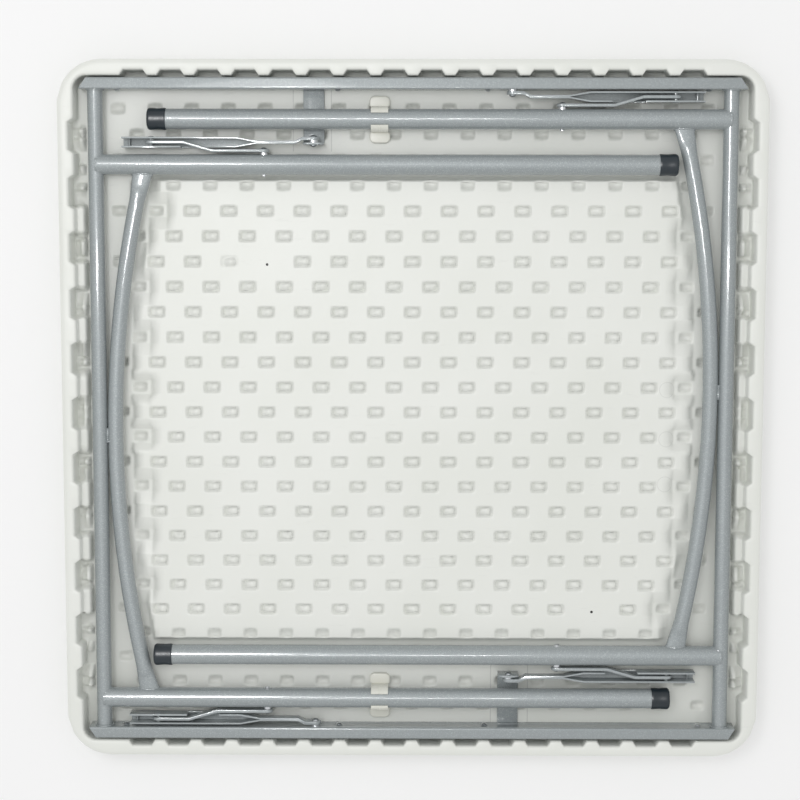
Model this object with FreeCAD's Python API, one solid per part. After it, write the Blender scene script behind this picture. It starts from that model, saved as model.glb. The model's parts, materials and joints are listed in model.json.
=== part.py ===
"""Square folding table with a blow-moulded top, lying on its working surface with both leg frames folded.

Millimetres.  The origin is the centre of the working surface, +Z points out of the underside.
The left leg frame turns about the tube at -X and the right one about the tube at +X.
The right frame and its stays are the left ones turned half a turn about Z.
"""
import FreeCAD, Part
import math
import os

# ---------------------------------------------------------------- tabletop
top_length = 870.0          # along X, hinge tube to hinge tube
top_width = 870.0           # along Y, rail to rail
top_height = 45.0           # working surface to rim
corner_radius = 55.0        # plan corners
recess_corner = 16.0        # plan corners of the recess
edge_round = 4.0            # rounding of the outer edges
leg_floor_gap = 0.5         # folded legs to the brackets that cross under them
skin = 2.5                  # wall of the hollow moulding
rim_width = 21.0            # rim lip, outer face to recess wall
panel_rise = 8.0            # raised middle panel above the recess floor
panel_leg_gap = 4.0         # middle panel to the inner legs
panel_brace_gap = 14.0      # middle panel to the curved braces
notch_depth = 6.6           # rim notches, into the lip
notch_chamfer = 4.7         # sloped ends of a notch
notch_mouth_x = 33.6        # notches of the two sides along X
notch_count_x = 16
notch_margin_x = 71.0       # side's end to the first notch pitch
notch_mouth_y = 43.0        # notches of the two sides along Y
notch_count_y = 11
notch_margin_y = 58.8

# ---------------------------------------------------------------- side rails
rail_inset = 22.2           # top's side to the rail's outer web
rail_width = 14.3
rail_sheet = 1.5
rail_bend = 2.5             # outside bend radius
rail_top_drop = 0.5         # rail top below the rim
rail_end_inset = 27.0       # top's end to the rail's long web
rail_mitre = 10.0           # how much shorter the outer web is at each end
rib_gap = 0.3               # moulded rib to the rail's webs
rib_height = 20.0
rivet_radius = 2.0
rivet_head_radius = 4.5
rivet_head_height = 2.2
rivet_grip = 8.0            # how far a rail rivet reaches past the web's face
rivet_height = 11.0         # rail rivets above the recess floor
outer_rivet_step = 26.7     # hinge axis to the outer rail rivets
inner_rivet_step = 30.0     # stay anchor to the inner rail rivets

# ---------------------------------------------------------------- leg frames
hinge_inset = 45.3          # top's end to the hinge axis
hinge_tube_radius = 9.5
leg_radius = 12.5
tube_wall = 1.2
cap_wall = 1.0
cap_length = 23.0
cap_end_round = 3.0
cap_end_thickness = 4.0
cap_rim_gap = 0.0           # foot cap's top edge below the rim
hinge_end_gap = 3.0         # hinge tube's end to the rail's outer web
bore_clearance = 0.05       # running fit of pins and tubes, on the radius
brace_radius = 9.5
brace_set_in = 59.9         # hinge axis to the brace where it meets a leg
brace_hinge_gap = 0.3       # brace to hinge tube where they nearly touch
foot_gap = 7.0              # folded foot to the other frame's brace

# ---------------------------------------------------------------- folding stays
stay_anchor = 267.7         # hinge axis to the stay's pivot on the tabletop
stay_catch = 206.7          # hinge axis to the stay's pivot on the leg
stay_sheet = 2.0
stay_width = 13.0           # outside of the channel link
channel_below = 13.0        # pivot line to the underside of the channel
link_half_height = 7.0      # bar and flattened strip, above and below the pivot line
bar_thickness = 4.0
bar_leg_gap = 2.3           # leg tube to the bar's near face
channel_leg_gap = 8.0       # leg tube to the channel's near face
channel_overhang = 35.5     # channel end past the elbow
stop_pin_step = 28.0        # stop pin past the elbow
stop_pin_radius = 1.8
slack = 0.3                 # gap between pieces that pass each other
bar_bend = (40.0, 75.0)     # elbow to the bar's sideways bend, start and end
mouth_margin = 3.0          # side cut of the channel beyond the bar's bend
strip_lead = 9.0            # leg rivet to where the channel is fully narrowed
strip_taper = 25.0          # length over which the channel narrows
anchor_bend = (22.0, 13.0)  # anchor to the strip's sideways bend, start and end
anchor_offset = 4.6         # how far that bend moves the strip
pivot_radius = 2.5
pivot_head_height = 1.2
anchor_radius = 3.0
anchor_head_radius = 5.0
anchor_head_height = 3.0
washer_radius = 6.0
stay_rail_gap = 1.0         # elbow pin's head to the rail's web
stay_leg_gap = 7.2          # elbow pivot head to the next leg's foot cap
collar_radius = 5.0
tail_height = 1.5           # leg rivet's tail on the leg's far side

# ---------------------------------------------------------------- brackets and clips
bracket_width = 26.0
bracket_sheet = 3.0
tab_sheet = 2.5
tab_link_gap = 2.9          # bracket tab to link end, filled by a washer
tab_rise = 9.0              # tab above the pivot line
clip_width = 21.3
clip_wall = 2.5
clip_tube_gap = 0.4
clip_arm_rise = 9.0         # clip arms above the leg's axis
foot_reach = 13.4           # clip foot, outward from its arm
foot_height = 5.5

# ---------------------------------------------------------------- places worked out from the sizes
half_length = top_length / 2
half_width = top_width / 2
rim_inner_x = half_length - rim_width
rim_inner_y = half_width - rim_width
cap_radius = leg_radius + cap_wall
axis_height = top_height - cap_rim_gap - cap_radius
deck_height = axis_height - leg_radius - bracket_sheet - leg_floor_gap
hinge_x = half_length - hinge_inset
rail_outer = half_width - rail_inset
rail_inner = rail_outer - rail_width
channel_middle = leg_radius + channel_leg_gap + stay_width / 2     # from the leg's axis
bar_end_middle = leg_radius + bar_leg_gap + bar_thickness / 2
link_end_middle = channel_middle + anchor_offset
stay_reach = channel_middle + stay_width / 2 + pivot_head_height
outer_leg_y = rail_inner - stay_rail_gap - stay_reach
anchor_rail_gap = stay_reach + stay_rail_gap - link_end_middle - bar_thickness / 2
leg_pitch = stay_reach + stay_leg_gap + cap_radius
inner_leg_y = outer_leg_y - leg_pitch
brace_middle_y = (inner_leg_y - outer_leg_y) / 2
brace_half_span = (inner_leg_y + outer_leg_y) / 2
brace_apex_in = hinge_tube_radius + brace_radius + brace_hinge_gap
brace_sagitta = brace_set_in - brace_apex_in
brace_arc_radius = (brace_half_span ** 2 + brace_sagitta ** 2) / (2 * brace_sagitta)
brace_centre_x = -hinge_x + brace_apex_in + brace_arc_radius


def brace_x(y):
    """X of the left brace's centre line at a given Y."""
    return brace_centre_x - math.sqrt(brace_arc_radius ** 2 - (y - brace_middle_y) ** 2)


foot_x = brace_x(-inner_leg_y) + brace_radius + foot_gap
leg_length = hinge_x - foot_x
anchor_x = -hinge_x + stay_anchor
catch_x = -hinge_x + stay_catch
stay_straight = math.hypot(stay_anchor, stay_catch)
channel_link = (stay_straight + stay_anchor - stay_catch) / 2      # anchor to elbow
bar_link = (stay_straight - stay_anchor + stay_catch) / 2          # elbow to leg rivet
elbow_x = anchor_x - channel_link
strip_end = stay_anchor - stay_catch + strip_lead                  # anchor to the narrowed strip
channel_floor = axis_height - channel_below + stay_sheet
channel_top = axis_height + link_half_height

UP = FreeCAD.Vector(0, 0, 1)
ALONG_X = FreeCAD.Vector(1, 0, 0)
ALONG_Y = FreeCAD.Vector(0, 1, 0)


# ---------------------------------------------------------------- shape helpers
def point(x, y, z):
    return FreeCAD.Vector(x, y, z)


def box(x0, x1, y0, y1, z0, z1):
    """Box between two corners given in either order."""
    low = point(min(x0, x1), min(y0, y1), min(z0, z1))
    return Part.makeBox(abs(x1 - x0), abs(y1 - y0), abs(z1 - z0), low)


def cylinder(radius, start, end):
    """Round bar between two points."""
    way = end - start
    return Part.makeCylinder(radius, way.Length, start, way)


def pin(radius, x, y0, y1, z):
    """Round bar along Y."""
    return cylinder(radius, point(x, y0, z), point(x, y1, z))


def dome(radius, height, x, y, z, outward):
    """Low rivet head standing on a face at y, outward is +1 or -1 along Y."""
    ball_radius = (radius ** 2 + height ** 2) / (2 * height)
    ball = Part.makeSphere(ball_radius, point(x, y - outward * (ball_radius - height), z))
    return ball.common(pin(radius, x, y, y + outward * height * 2, z))


def prism(points, z0, z1):
    """Upright prism over a plan outline."""
    face = Part.Face(Part.makePolygon([point(x, y, z0) for x, y in points + points[:1]]))
    return face.extrude(UP * (z1 - z0))


def rounded_slab(length, width, radius, z0, z1):
    """Slab centred on the origin with rounded plan corners."""
    slab = box(-length / 2, length / 2, -width / 2, width / 2, z0, z1)
    upright = [e for e in slab.Edges if abs(e.tangentAt(e.FirstParameter).z) > 0.9]
    return slab.makeFillet(radius, upright)


def stadium(x0, x1, half_height, y0, y1, z):
    """Flat bar along X with round ends centred on x0 and x1."""
    body = box(x0, x1, y0, y1, z - half_height, z + half_height)
    return body.fuse([pin(half_height, x0, y0, y1, z), pin(half_height, x1, y0, y1, z)])


def half_turn(shape):
    """The same shape on the other side of the table."""
    turned = shape.copy()
    turned.rotate(point(0, 0, 0), UP, 180)
    return turned


def mirror_y(shape):
    return shape.mirror(point(0, 0, 0), ALONG_Y)


# ---------------------------------------------------------------- tabletop
def notch(mouth, depth):
    """Notch cut with sloped ends, opening towards -Y from y = 0."""
    over = notch_chamfer * 2
    outline = [
        (-mouth / 2 - notch_chamfer * over / depth, -over),
        (mouth / 2 + notch_chamfer * over / depth, -over),
        (mouth / 2 - notch_chamfer, depth),
        (-mouth / 2 + notch_chamfer, depth),
    ]
    return prism(outline, deck_height, top_height + edge_round)


def notch_row(count, margin, side, mouth, reach):
    """One side's notches, and the same row on the opposite side."""
    pitch = (side - 2 * margin) / count
    cuts = []
    for index in range(count):
        along = (index - (count - 1) / 2) * pitch
        cut = notch(mouth, notch_depth)
        cut.translate(point(along, reach, 0))
        cuts += [cut, half_turn(cut)]
    return cuts


def panel_block(inset):
    """Raised middle panel between the folded legs and the two curved braces, its faces moved in by inset."""
    panel_half = inner_leg_y - leg_radius - panel_leg_gap - inset
    edge_radius = brace_arc_radius - brace_radius - panel_brace_gap - inset
    low = deck_height - 2 * skin
    high = deck_height + panel_rise - inset
    panel = box(-rim_inner_x, rim_inner_x, -panel_half, panel_half, low, high)
    for sign in (1, -1):
        centre = point(sign * brace_centre_x, sign * brace_middle_y, low - skin)
        panel = panel.common(Part.makeCylinder(edge_radius, high - low + 2 * skin, centre, UP))
    return panel


def hollow_block():
    """Air inside the moulding: under the recess floor, inside the raised panel and inside the rim."""
    length, width = top_length - 2 * skin, top_width - 2 * skin
    deck = rounded_slab(length, width, corner_radius - skin, skin, deck_height - skin)
    rim = rounded_slab(length, width, corner_radius - skin, skin, top_height - skin)
    wall = notch_depth + skin
    core = rounded_slab(2 * (rim_inner_x + wall), 2 * (rim_inner_y + wall), recess_corner + wall, 0, top_height)
    return deck.fuse([rim.cut(core), panel_block(skin)])


def rail_rivet_places():
    """X of the rivets in one rail, by the half-turn symmetry of the table."""
    outer = hinge_x - outer_rivet_step
    inner = -anchor_x - inner_rivet_step
    return [-outer, -inner, inner, outer]


def make_tabletop():
    top = rounded_slab(top_length, top_width, corner_radius, 0, top_height)
    outline = [e for e in top.Edges if abs(e.BoundBox.ZMax - e.BoundBox.ZMin) < 0.001]
    top = top.makeFillet(edge_round, outline)
    recess = rounded_slab(2 * rim_inner_x, 2 * rim_inner_y, recess_corner, deck_height, top_height + 1)
    top = top.cut(recess)
    cuts = notch_row(notch_count_x, notch_margin_x, top_length, notch_mouth_x, rim_inner_y)
    for cut in notch_row(notch_count_y, notch_margin_y, top_width, notch_mouth_y, rim_inner_x):
        cut.rotate(point(0, 0, 0), UP, 90)
        cuts.append(cut)
    top = top.cut(cuts)
    top = top.fuse(panel_block(0))
    rib_half = hinge_x - hinge_tube_radius * 2
    rib = box(-rib_half, rib_half, rail_inner + rail_sheet + rib_gap, rail_outer - rail_sheet - rib_gap,
              deck_height - skin / 2, deck_height + rib_height)
    top = top.fuse([rib, mirror_y(rib)])
    holes = [hollow_block()]
    for x in rail_rivet_places():
        hole = pin(rivet_radius, x, rail_inner - 1, rail_inner + rivet_grip, deck_height + rivet_height)
        holes += [hole, mirror_y(hole)]
    return top.cut(holes).removeSplitter()


# ---------------------------------------------------------------- side rails
def make_rail():
    """Folded steel channel along the +Y side, straddling the moulded rib."""
    long_half = half_length - rail_end_inset
    rail_top = top_height - rail_top_drop
    outer = box(-long_half, long_half, rail_inner, rail_outer, deck_height, rail_top)
    bends = [e for e in outer.Edges
             if abs(e.tangentAt(e.FirstParameter).x) > 0.9 and e.CenterOfMass.z > rail_top - 0.01]
    outer = outer.makeFillet(rail_bend, bends)
    inner = box(-long_half - 1, long_half + 1, rail_inner + rail_sheet, rail_outer - rail_sheet,
                deck_height - 1, rail_top - rail_sheet)
    bends = [e for e in inner.Edges
             if abs(e.tangentAt(e.FirstParameter).x) > 0.9 and e.CenterOfMass.z > rail_top - 2 * rail_sheet]
    rail = outer.cut(inner.makeFillet(rail_bend - rail_sheet, bends))
    for sign in (1, -1):
        end = sign * long_half
        corner = [(end, rail_inner), (end - sign * rail_mitre, rail_outer + 1), (end + sign, rail_outer + 1)]
        rail = rail.cut(prism(corner, 0, top_height))
    holes = []
    for x in (-hinge_x, hinge_x):
        holes.append(pin(hinge_tube_radius + bore_clearance, x, rail_inner - 1, rail_inner + rail_sheet + 1,
                         axis_height))
    for x in rail_rivet_places():
        holes.append(pin(rivet_radius, x, rail_inner - 1, rail_inner + rail_sheet + 1,
                         deck_height + rivet_height))
    holes.append(pin(anchor_radius, -anchor_x, rail_inner - 1, rail_inner + rail_sheet + 1, axis_height))
    return rail.cut(holes)


def make_rail_rivets():
    rivets = []
    z = deck_height + rivet_height
    for x in rail_rivet_places():
        shank = pin(rivet_radius, x, rail_inner, rail_inner + rivet_grip, z)
        rivet = shank.fuse(dome(rivet_head_radius, rivet_head_height, x, rail_inner, z, -1))
        rivets += [rivet, half_turn(rivet)]
    return Part.makeCompound(rivets)


# ---------------------------------------------------------------- leg frames
def tube_along_y(radius, x, y0, y1, z):
    return pin(radius, x, y0, y1, z).cut(pin(radius - tube_wall, x, y0, y1, z))


def make_hinge_tube():
    reach = rail_outer - rail_sheet - hinge_end_gap
    return tube_along_y(hinge_tube_radius, -hinge_x, -reach, reach, axis_height)


def make_leg(y, outward):
    """Leg tube from the hinge tube to the foot, with the hole for its stay rivet."""
    start = point(-hinge_x, y, axis_height)
    end = point(-foot_x - cap_end_thickness, y, axis_height)
    tube = cylinder(leg_radius, start, end).cut(cylinder(leg_radius - tube_wall, start, end))
    seat = pin(hinge_tube_radius, -hinge_x, y - 2 * leg_radius, y + 2 * leg_radius, axis_height)
    hole = pin(anchor_radius, catch_x, y - 2 * leg_radius, y + 2 * leg_radius, axis_height)
    return tube.cut([seat, hole])


def make_cap(y):
    """Foot cap: a cup over the leg's end."""
    end = -foot_x
    cap = cylinder(cap_radius, point(end - cap_length, y, axis_height), point(end, y, axis_height))
    rim = [e for e in cap.Edges if e.BoundBox.XMin > end - 0.001]
    cap = cap.makeFillet(cap_end_round, rim)
    bore = cylinder(leg_radius, point(end - cap_length - 1, y, axis_height),
                    point(end - cap_end_thickness, y, axis_height))
    return cap.cut(bore)


def make_brace():
    """Curved tube between the two legs, bowed towards the hinge tube."""
    ends = [point(brace_x(y), y, axis_height) for y in (inner_leg_y, -outer_leg_y)]
    crown = point(-hinge_x + brace_apex_in, brace_middle_y, axis_height)
    path = Part.Wire(Part.Arc(ends[0], crown, ends[1]).toShape())
    way = path.Edges[0].tangentAt(path.Edges[0].FirstParameter)
    tube = None
    for radius in (brace_radius, brace_radius - tube_wall):
        section = Part.Wire(Part.makeCircle(radius, ends[0], way))
        pipe = path.makePipeShell([section], True, True)
        tube = pipe if tube is None else tube.cut(pipe)
    legs = [cylinder(leg_radius, point(-hinge_x, y, axis_height), point(0, y, axis_height))
            for y in (inner_leg_y, -outer_leg_y)]
    inside = box(-hinge_x, 0, -outer_leg_y, inner_leg_y, 0, 2 * top_height)
    return tube.cut(legs).common(inside)


def make_leg_rivet(y, outward):
    """Rivet through a leg; its collar stops just short of the stay's bar."""
    near = y + outward * (leg_radius + bar_leg_gap - slack)
    far = y - outward * (leg_radius + tail_height)
    shank = pin(anchor_radius, catch_x, far, near, axis_height)
    collar = pin(collar_radius, catch_x, y, near, axis_height)
    body = cylinder(leg_radius, point(catch_x - 20, y, axis_height), point(catch_x + 20, y, axis_height))
    tail = dome(collar_radius, tail_height * 2, catch_x, y - outward * (leg_radius - tail_height), axis_height,
                -outward)
    return shank.fuse([collar.cut(body), tail.cut(body)])


# ---------------------------------------------------------------- folding stays
def plan_strip(stops, y, outward, z0, z1):
    """Flat strip standing on edge; stops are (x, distance from the leg's axis)."""
    half = bar_thickness / 2
    near = [(x, y + outward * (offset - half)) for x, offset in stops]
    far = [(x, y + outward * (offset + half)) for x, offset in stops]
    return prism(near + far[::-1], z0, z1)


def channel_section(x, y, half_width_out, half_width_in, z_low, z_floor):
    corners = [(-half_width_out, z_low), (half_width_out, z_low), (half_width_out, channel_top),
               (half_width_in, channel_top), (half_width_in, z_floor), (-half_width_in, z_floor),
               (-half_width_in, channel_top), (-half_width_out, channel_top)]
    return Part.makePolygon([point(x, y + dy, z) for dy, z in corners + corners[:1]])


def make_channel(y, outward):
    """Upper stay link: an open channel pressed flat towards its anchor end."""
    middle = y + outward * channel_middle
    half = stay_width / 2
    low = channel_floor - stay_sheet
    strip_low = axis_height - link_half_height
    wide = [channel_section(x, middle, half, half - stay_sheet, low, channel_floor)
            for x in (elbow_x - channel_overhang, anchor_x - strip_end - strip_taper)]
    narrow = channel_section(anchor_x - strip_end, middle, bar_thickness / 2, slack / 2,
                             strip_low, strip_low + stay_sheet)
    channel = Part.makeLoft(wide, True, True)
    taper = Part.makeLoft([wide[1], narrow], True, True)
    stops = [(anchor_x - strip_end, channel_middle), (anchor_x - anchor_bend[0], channel_middle),
             (anchor_x - anchor_bend[1], link_end_middle), (anchor_x + link_half_height, link_end_middle)]
    strip = plan_strip(stops, y, outward, strip_low, channel_top)
    outline = stadium(anchor_x - strip_end - 2 * link_half_height, anchor_x, link_half_height,
                      y, y + outward * 3 * channel_middle, axis_height)
    link = channel.fuse([taper, strip.common(outline)])
    near_flange = y + outward * (channel_middle - half - 1)
    inside = y + outward * (channel_middle - half + stay_sheet)
    mouth = box(elbow_x + bar_bend[0] - mouth_margin, elbow_x + bar_bend[1] + mouth_margin,
                near_flange, inside, axis_height - link_half_height - 2 * slack, channel_top + 1)
    far = y + outward * 2 * channel_middle
    holes = [mouth,
             pin(pivot_radius, elbow_x, y, far, axis_height),
             pin(stop_pin_radius, elbow_x - stop_pin_step, y, far, stop_pin_height()),
             pin(anchor_radius + bore_clearance, anchor_x, y, far, axis_height)]
    return link.cut(holes)


def stop_pin_height():
    """Height of the pin on which the opened bar rests."""
    return axis_height - link_half_height - slack - stop_pin_radius


def make_stop_pin(y, outward):
    near = y + outward * (channel_middle - stay_width / 2)
    far = y + outward * (channel_middle + stay_width / 2)
    return pin(stop_pin_radius, elbow_x - stop_pin_step, near, far, stop_pin_height())


def make_elbow_pin(y, outward):
    near = y + outward * (channel_middle - stay_width / 2)
    far = y + outward * (channel_middle + stay_width / 2)
    shank = pin(pivot_radius, elbow_x, near, far, axis_height)
    heads = [dome(pivot_radius * 1.8, pivot_head_height, elbow_x, near, axis_height, -outward),
             dome(pivot_radius * 1.8, pivot_head_height, elbow_x, far, axis_height, outward)]
    return shank.fuse(heads)


def make_bar(y, outward):
    """Lower stay link: a flat bar that starts inside the channel and bends out to the leg."""
    stops = [(elbow_x - link_half_height, channel_middle), (elbow_x + bar_bend[0], channel_middle),
             (elbow_x + bar_bend[1], bar_end_middle), (catch_x + link_half_height, bar_end_middle)]
    strip = plan_strip(stops, y, outward, axis_height - link_half_height, axis_height + link_half_height)
    outline = stadium(elbow_x, catch_x, link_half_height, y, y + outward * 2 * channel_middle, axis_height)
    hole = pin(pivot_radius + bore_clearance, elbow_x, y, y + outward * 2 * channel_middle, axis_height)
    return strip.common(outline).cut(hole)


def make_bar_button(y, outward):
    """Rivet head on the bar's outer face at the leg."""
    face = y + outward * (bar_end_middle + bar_thickness / 2)
    return dome(rivet_head_radius, rivet_head_height, catch_x, face, axis_height, outward)


# ---------------------------------------------------------------- anchors on the tabletop
def make_rail_anchor(y, outward):
    """Rivet and washer that hold an outer stay to the rail's web."""
    web = y + outward * (link_end_middle + bar_thickness / 2 + anchor_rail_gap)
    link_far = y + outward * (link_end_middle + bar_thickness / 2 + bore_clearance * 2)
    link_near = y + outward * (link_end_middle - bar_thickness / 2 - bore_clearance * 2)
    shank = pin(anchor_radius, anchor_x, link_near, web + outward * rail_sheet, axis_height)
    rivet = shank.fuse(dome(anchor_head_radius, anchor_head_height, anchor_x, link_near, axis_height, -outward))
    washer = pin(washer_radius, anchor_x, link_far, web, axis_height).cut(shank)
    return rivet, washer


def make_tab_anchor(y, outward):
    """Rivet and washer that hold an inner stay to its bracket's tab."""
    tab_near = tab_face(y, outward) - outward * tab_sheet
    link_near = y + outward * (link_end_middle - bar_thickness / 2 - bore_clearance * 2)
    link_far = y + outward * (link_end_middle + bar_thickness / 2 + bore_clearance * 2)
    shank = pin(anchor_radius, anchor_x, tab_near, link_far, axis_height)
    heads = [dome(anchor_head_radius, anchor_head_height, anchor_x, tab_near, axis_height, -outward),
             dome(anchor_head_radius, anchor_head_height * 0.8, anchor_x, link_far, axis_height, outward)]
    washer = pin(washer_radius, anchor_x, tab_face(y, outward), link_near, axis_height).cut(shank)
    return shank.fuse(heads), washer


def tab_face(y, outward):
    """Face of the bracket's tab that looks at the stay."""
    return y + outward * (link_end_middle - bar_thickness / 2 - tab_link_gap)


def make_bracket(y, outward):
    """Steel strip welded to the rail, lying on the recess floor and turned up into a tab."""
    face = tab_face(y, outward)
    near = face - outward * tab_sheet
    half = bracket_width / 2
    base = box(anchor_x - half, anchor_x + half, near, outward * rail_inner, deck_height,
               deck_height + bracket_sheet)
    tab = box(anchor_x - half, anchor_x + half, near, face, deck_height, axis_height + tab_rise)
    corners = [e for e in tab.Edges if abs(e.tangentAt(e.FirstParameter).y) > 0.9
               and e.CenterOfMass.z > axis_height]
    tab = tab.makeFillet(half * 0.5, corners)
    hole = pin(anchor_radius, anchor_x, near - outward, face + outward, axis_height)
    return base.fuse(tab).cut(hole)


def make_clip(y):
    """Plastic clip under a leg: strap, two arms and two feet."""
    x = anchor_x / 3
    half = clip_width / 2
    inner = leg_radius + clip_tube_gap
    outer = inner + clip_wall
    strap = box(x - half, x + half, y - outer, y + outer, deck_height, deck_height + clip_wall)
    pieces = []
    for sign in (1, -1):
        pieces.append(box(x - half, x + half, y + sign * inner, y + sign * outer, deck_height,
                          axis_height + clip_arm_rise))
        foot = box(x - half * 1.2, x + half * 1.2, y + sign * outer, y + sign * (outer + foot_reach),
                   deck_height, deck_height + foot_height)
        upright = [e for e in foot.Edges if abs(e.tangentAt(e.FirstParameter).z) > 0.9
                   and sign * (e.CenterOfMass.y - y) > outer + 1]
        pieces.append(foot.makeFillet(foot_reach * 0.45, upright))
    return strap.fuse(pieces)


# ---------------------------------------------------------------- build every node
def build():
    nodes = {"tabletop": make_tabletop()}
    rail = make_rail()
    nodes["rail_back"] = rail
    nodes["rail_front"] = half_turn(rail)
    nodes["rail_rivets"] = make_rail_rivets()
    nodes["leg_clip_back"] = make_clip(outer_leg_y)
    nodes["leg_clip_front"] = make_clip(-outer_leg_y)
    bracket = make_bracket(inner_leg_y, 1)
    nodes["stay_bracket_back"] = bracket
    nodes["stay_bracket_front"] = half_turn(bracket)
    rail_anchor, rail_washer = make_rail_anchor(-outer_leg_y, -1)
    tab_anchor, tab_washer = make_tab_anchor(inner_leg_y, 1)
    anchors = [rail_anchor, tab_anchor]
    washers = [rail_washer, tab_washer]
    nodes["stay_anchor_rivets"] = Part.makeCompound(anchors + [half_turn(piece) for piece in anchors])
    nodes["stay_anchor_washers"] = Part.makeCompound(washers + [half_turn(piece) for piece in washers])

    left = {
        "hinge_tube": make_hinge_tube(),
        "inner_leg": make_leg(inner_leg_y, 1),
        "outer_leg": make_leg(-outer_leg_y, -1),
        "inner_foot_cap": make_cap(inner_leg_y),
        "outer_foot_cap": make_cap(-outer_leg_y),
        "brace": make_brace(),
        "leg_rivets": Part.makeCompound([make_leg_rivet(inner_leg_y, 1), make_leg_rivet(-outer_leg_y, -1)]),
    }
    for row, y, outward in (("inner", inner_leg_y, 1), ("outer", -outer_leg_y, -1)):
        left[row + "_stay_channel"] = make_channel(y, outward)
        left[row + "_stay_stop_pin"] = make_stop_pin(y, outward)
        left[row + "_stay_elbow_pin"] = make_elbow_pin(y, outward)
        left[row + "_stay_bar"] = make_bar(y, outward)
        left[row + "_stay_rivet_head"] = make_bar_button(y, outward)
    for name, shape in left.items():
        nodes["left_" + name] = shape
        nodes["right_" + name] = half_turn(shape)
    return nodes


os.makedirs("parts", exist_ok=True)
for name, shape in build().items():
    shape.exportStep("parts/" + name + ".step")
print("hinge_x %.4f axis_height %.4f anchor_x %.4f catch_x %.4f elbow_x %.4f" % (
    hinge_x, axis_height, anchor_x, catch_x, elbow_x))
print("outer_leg_y %.4f inner_leg_y %.4f leg_length %.4f foot_x %.4f rail_inner %.4f" % (
    outer_leg_y, inner_leg_y, leg_length, foot_x, rail_inner))
print("stay turn %.4f degrees" % math.degrees(math.atan2(stay_catch, stay_anchor)))
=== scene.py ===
"""Folding table, face down with both leg frames folded in.

Adds its moulded top, clips, welds, caps and finishes.
"""

import json
import math

import bmesh
import bpy
import numpy as np
from mathutils import Matrix, Vector

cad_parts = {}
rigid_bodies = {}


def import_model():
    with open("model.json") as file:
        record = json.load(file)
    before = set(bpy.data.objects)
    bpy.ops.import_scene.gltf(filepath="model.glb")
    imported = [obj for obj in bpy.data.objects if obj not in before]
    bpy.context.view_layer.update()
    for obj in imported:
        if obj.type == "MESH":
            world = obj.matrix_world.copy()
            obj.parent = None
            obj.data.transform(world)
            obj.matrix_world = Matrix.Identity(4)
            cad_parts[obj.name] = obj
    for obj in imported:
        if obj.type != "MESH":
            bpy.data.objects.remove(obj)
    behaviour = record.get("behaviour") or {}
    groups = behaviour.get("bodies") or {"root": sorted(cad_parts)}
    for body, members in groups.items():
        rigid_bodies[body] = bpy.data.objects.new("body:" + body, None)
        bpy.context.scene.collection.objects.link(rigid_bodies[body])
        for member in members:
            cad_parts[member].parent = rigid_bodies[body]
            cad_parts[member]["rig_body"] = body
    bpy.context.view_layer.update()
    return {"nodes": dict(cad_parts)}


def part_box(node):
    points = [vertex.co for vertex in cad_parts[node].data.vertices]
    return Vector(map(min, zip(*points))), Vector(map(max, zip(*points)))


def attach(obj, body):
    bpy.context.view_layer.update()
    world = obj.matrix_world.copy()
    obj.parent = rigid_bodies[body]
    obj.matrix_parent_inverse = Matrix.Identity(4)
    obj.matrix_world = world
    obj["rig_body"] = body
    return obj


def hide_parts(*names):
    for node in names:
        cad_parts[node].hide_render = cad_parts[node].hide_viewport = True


bl_info = {
    "name": "Folding Table Looks",
    "version": (1, 0, 0),
    "blender": (4, 5, 0),
    "location": "View3D > Sidebar > Table",
    "description": "Moulded top, tube frame details and finishes for a folding table",
    "category": "Object",
}

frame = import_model()

MM = 0.001
TOP_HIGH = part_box("tabletop")[1]
HALF = TOP_HIGH.x                    # half the side of the square top
HINGE_LOW, HINGE_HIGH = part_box("left_hinge_tube")
HINGE_X = -(HINGE_LOW.x + HINGE_HIGH.x) / 2
AXIS_Z = (HINGE_LOW.z + HINGE_HIGH.z) / 2
HINGE_R = (HINGE_HIGH.x - HINGE_LOW.x) / 2
INNER_LOW, INNER_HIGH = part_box("left_inner_leg")
OUTER_LOW, OUTER_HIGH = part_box("left_outer_leg")
LEG_R = (INNER_HIGH.y - INNER_LOW.y) / 2
INNER_Y = (INNER_LOW.y + INNER_HIGH.y) / 2       # left frame's inner leg, towards the back
OUTER_Y = -(OUTER_LOW.y + OUTER_HIGH.y) / 2      # left frame's outer leg, towards the front
BRACE_LOW, BRACE_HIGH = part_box("left_brace")
BRACE_R = (BRACE_HIGH.z - BRACE_LOW.z) / 2
SIDES = ("left", "right")
CLOSE = 1e-5                         # places nearer than this are the same
BRACE_TO_HINGE = 59.9 * MM           # hinge axis to the brace, where it meets its legs


def length(name, about, default):
    return bpy.props.FloatProperty(name=name, description=about, default=default, unit="LENGTH",
                                   subtype="DISTANCE", precision=5)


def colour(name, about, rgb):
    return bpy.props.FloatVectorProperty(name=name, description=about, default=rgb, size=3,
                                         min=0.0, max=1.0, subtype="COLOR")


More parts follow.
